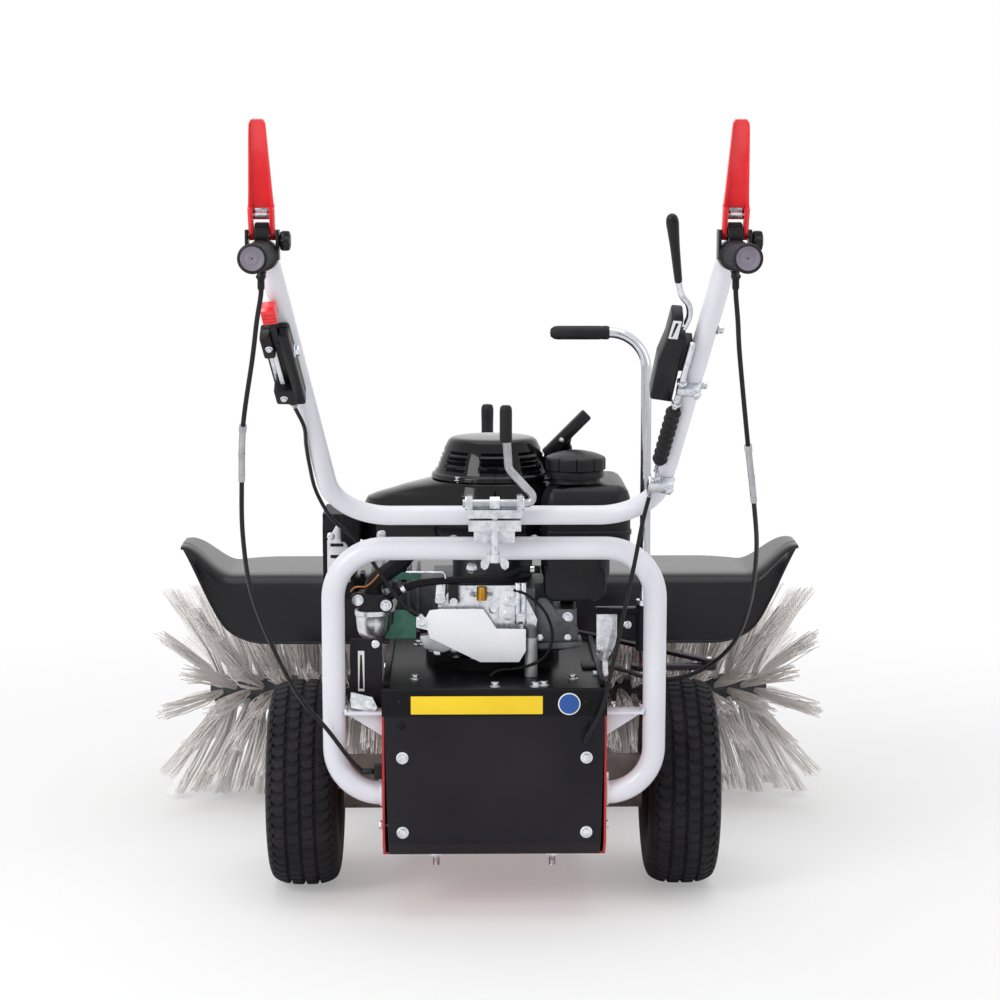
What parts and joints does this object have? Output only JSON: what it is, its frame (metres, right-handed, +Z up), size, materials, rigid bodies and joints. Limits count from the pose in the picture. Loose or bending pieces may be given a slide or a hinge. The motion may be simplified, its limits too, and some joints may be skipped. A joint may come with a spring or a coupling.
{
  "type": "power brush sweeper",
  "caption": "Walk-behind petrol sweeper with a U handlebar and red levers, an engine on a box between drive wheels, and a wide swinging front brush under a black guard.",
  "frame": {"origin": "on the floor, in the middle of the bounding box in X and Y", "axes": "+Z up, +Y forward towards the brush, +X to the operator's right"},
  "size_m": [1.143, 1.647, 1.1678],
  "materials": {
    "red_paint": "smooth red powder coat",
    "black_paint": "satin black powder coat",
    "grey_coat": "light grey powder coat",
    "zinc": "bright zinc plate",
    "chrome_rod": "bright chrome plate",
    "shaft_steel": "turned steel",
    "cast_aluminium": "sand-cast aluminium",
    "pale_paint": "pale grey paint",
    "exhaust_steel": "bare sheet steel",
    "gloss_black": "high-gloss black",
    "black_plastic": "fine-grained black",
    "red_plastic": "glossy red",
    "black_rubber": "dull black",
    "tyre_rubber": "dull black with block tread",
    "rim_paint": "grey paint",
    "core_paint": "dark grey",
    "bristle_nylon": "translucent off-white filament"
  },
  "bodies": {
    "chassis": {"base_box": "red_paint", "rear_cover": "black_paint", "box_bolts": "zinc", "deck": "black_paint", "frame_loop": "grey_coat", "transaxle": "cast_aluminium", "angle_box": "cast_aluminium", "belts": "black_rubber", "crankcase": "cast_aluminium", "blower_housing": "gloss_black", "recoil_cover": "gloss_black", "fuel_tank": "black_plastic", "carburettor": "cast_aluminium", "control_plate": "cast_aluminium", "control_cover": "pale_paint", "muffler": "exhaust_steel", "clamp_saddle": "zinc", "clamp_cap": "zinc", "scale_plate": "black_paint", "rod_bracket": "zinc"},
    "left_wheel": {"tyre_left": "tyre_rubber", "hub_left": "rim_paint"},
    "right_wheel": {"tyre_right": "tyre_rubber", "hub_right": "rim_paint"},
    "engine_shaft": {"crankshaft": "shaft_steel"},
    "drive_input": {"drive_input": "shaft_steel"},
    "brush_input": {"brush_input": "shaft_steel"},
    "pto_shaft": {"pto_shaft": "shaft_steel"},
    "starter_grip": {"starter_grip": "black_plastic"},
    "fuel_cap": {"fuel_cap": "black_plastic"},
    "wing_nut": {"wing_nut": "zinc"},
    "clamp_crank": {"clamp_crank": "zinc"},
    "handlebar": {"handlebar": "grey_coat", "hand_grips": "black_rubber", "lever_brackets": "black_plastic", "throttle_housing": "black_plastic", "shift_console": "black_plastic", "shift_bellows": "black_rubber", "clutch_cables": "black_rubber", "control_cables": "black_rubber"},
    "lever_left": {"lever_left": "red_plastic"},
    "lever_right": {"lever_right": "red_plastic"},
    "throttle_lever": {"throttle_lever": "red_plastic"},
    "shift_lever": {"shift_lever": "chrome_rod"},
    "brush_arm": {"brush_arm": "red_paint", "swing_lever": "black_paint", "brush_gearbox": "cast_aluminium", "brush_guard": "black_plastic", "boom": "red_paint"},
    "torque_shaft": {"torque_shaft": "shaft_steel"},
    "brush": {"brush_core": "core_paint", "bristles_left": "bristle_nylon", "bristles_right": "bristle_nylon"},
    "swing_rod": {"swing_rod": "chrome_rod"},
    "swing_link": {"swing_link": "black_paint"},
    "height_crank": {"height_crank": "zinc"},
    "castor_column": {"castor_column": "zinc"},
    "castor_fork": {"castor_fork": "zinc"},
    "castor_wheel": {"castor_wheel": "black_rubber"}
  },
  "joints": [
    {"name": "left_wheel_spin", "type": "hinge", "parent": "chassis", "child": "left_wheel", "pos_m": [-0.292, -0.0355, 0.16], "axis": [1, 0, 0], "continuous": true},
    {"name": "right_wheel_spin", "type": "hinge", "parent": "chassis", "child": "right_wheel", "pos_m": [0.292, -0.0355, 0.16], "axis": [1, 0, 0], "continuous": true},
    {"name": "engine_shaft_spin", "type": "hinge", "parent": "chassis", "child": "engine_shaft", "pos_m": [0, -0.0255, 0.4], "axis": [0, 0, 1], "continuous": true},
    {"name": "drive_input_spin", "type": "hinge", "parent": "chassis", "child": "drive_input", "pos_m": [0, -0.1235, 0.25], "axis": [0, 0, 1], "continuous": true},
    {"name": "brush_input_spin", "type": "hinge", "parent": "chassis", "child": "brush_input", "pos_m": [0, 0.0895, 0.26], "axis": [0, 0, 1], "continuous": true},
    {"name": "pto_shaft_spin", "type": "hinge", "parent": "chassis", "child": "pto_shaft", "pos_m": [0, 0.1445, 0.1915], "axis": [0, 1, 0], "continuous": true},
    {"name": "starter_pull", "type": "slide", "parent": "chassis", "child": "starter_grip", "axis": [0, -0.6, 0.8], "range_m": [0, 0.45], "stiffness_N_per_m": 30, "springref_m": -0.3},
    {"name": "fuel_cap_turn", "type": "hinge", "parent": "chassis", "child": "fuel_cap", "pos_m": [0.125, -0.0975, 0.66], "axis": [0, 0, 1], "range_deg": [0, 90]},
    {"name": "wing_nut_turn", "type": "hinge", "parent": "chassis", "child": "wing_nut", "pos_m": [0, -0.2855, 0.555], "axis": [0, 0, 1], "continuous": true},
    {"name": "clamp_crank_turn", "type": "hinge", "parent": "chassis", "child": "clamp_crank", "pos_m": [0, -0.2855, 0.633], "axis": [1, 0, 0], "range_deg": [0, 95]},
    {"name": "handlebar_tilt", "type": "hinge", "parent": "chassis", "child": "handlebar", "pos_m": [0, -0.2505, 0.611], "axis": [1, 0, 0], "range_deg": [-12, 12], "deforming": ["clutch_cables", "control_cables"]},
    {"name": "lever_left_squeeze", "type": "hinge", "parent": "handlebar", "child": "lever_left", "pos_m": [-0.296, -0.6755, 1.024], "axis": [1, 0, 0], "range_deg": [0, 50], "stiffness_Nm_per_rad": 1.2, "springref_deg": -14.32},
    {"name": "lever_right_squeeze", "type": "hinge", "parent": "handlebar", "child": "lever_right", "pos_m": [0.296, -0.6755, 1.024], "axis": [1, 0, 0], "range_deg": [0, 50], "stiffness_Nm_per_rad": 1.2, "springref_deg": -14.32},
    {"name": "throttle_turn", "type": "hinge", "parent": "handlebar", "child": "throttle_lever", "pos_m": [-0.28986, -0.54124, 0.88394], "axis": [0.9926, -0.0827, 0.0893], "range_deg": [0, 38]},
    {"name": "shift_turn", "type": "hinge", "parent": "handlebar", "child": "shift_lever", "pos_m": [0.24197, -0.52478, 0.90443], "axis": [0.9926, 0.0827, -0.0893], "range_deg": [-22, 22]},
    {"name": "brush_swing", "type": "hinge", "parent": "chassis", "child": "brush_arm", "pos_m": [0, 0.1995, 0.1915], "axis": [0, 0, 1], "range_deg": [-15, 15]},
    {"name": "swing_rod_turn", "type": "hinge", "parent": "chassis", "child": "swing_rod", "pos_m": [0.232, -0.0955, 0.42], "axis": [0, 0, 1], "range_deg": [-15.1, 15.1]},
    {"name": "swing_link_turn", "type": "hinge", "parent": "swing_rod", "child": "swing_link", "pos_m": [0.332, -0.0955, 0.362], "axis": [0, 0, 1], "range_deg": [-15.1, 15.1]},
    {"name": "torque_shaft_spin", "type": "hinge", "parent": "brush_arm", "child": "torque_shaft", "pos_m": [0, 0.3645, 0.1915], "axis": [0, 1, 0], "continuous": true},
    {"name": "brush_spin", "type": "hinge", "parent": "brush_arm", "child": "brush", "pos_m": [0, 0.5045, 0.1915], "axis": [1, 0, 0], "continuous": true},
    {"name": "height_crank_turn", "type": "hinge", "parent": "brush_arm", "child": "height_crank", "pos_m": [0, 0.7965, 0.6], "axis": [0, 0, 1], "range_deg": [-1800, 0]},
    {"name": "support_height", "type": "slide", "parent": "brush_arm", "child": "castor_column", "axis": [0, 0, 1], "range_m": [-0.0301, 0]},
    {"name": "castor_swivel", "type": "hinge", "parent": "castor_column", "child": "castor_fork", "pos_m": [0, 0.7965, 0.14], "axis": [0, 0, 1], "continuous": true},
    {"name": "castor_spin", "type": "hinge", "parent": "castor_fork", "child": "castor_wheel", "pos_m": [0, 0.7615, 0.062], "axis": [1, 0, 0], "continuous": true}
  ],
  "couplings": [
    {"joint": "swing_rod_turn", "follows": "brush_swing", "ratio": 1},
    {"joint": "swing_link_turn", "follows": "brush_swing", "ratio": -1},
    {"joint": "torque_shaft_spin", "follows": "brush_spin", "ratio": 2},
    {"joint": "pto_shaft_spin", "follows": "brush_spin", "ratio": 2},
    {"joint": "brush_input_spin", "follows": "brush_spin", "ratio": -4},
    {"joint": "support_height", "follows": "height_crank_turn", "m_per_rad": 0.00095493}
  ]
}
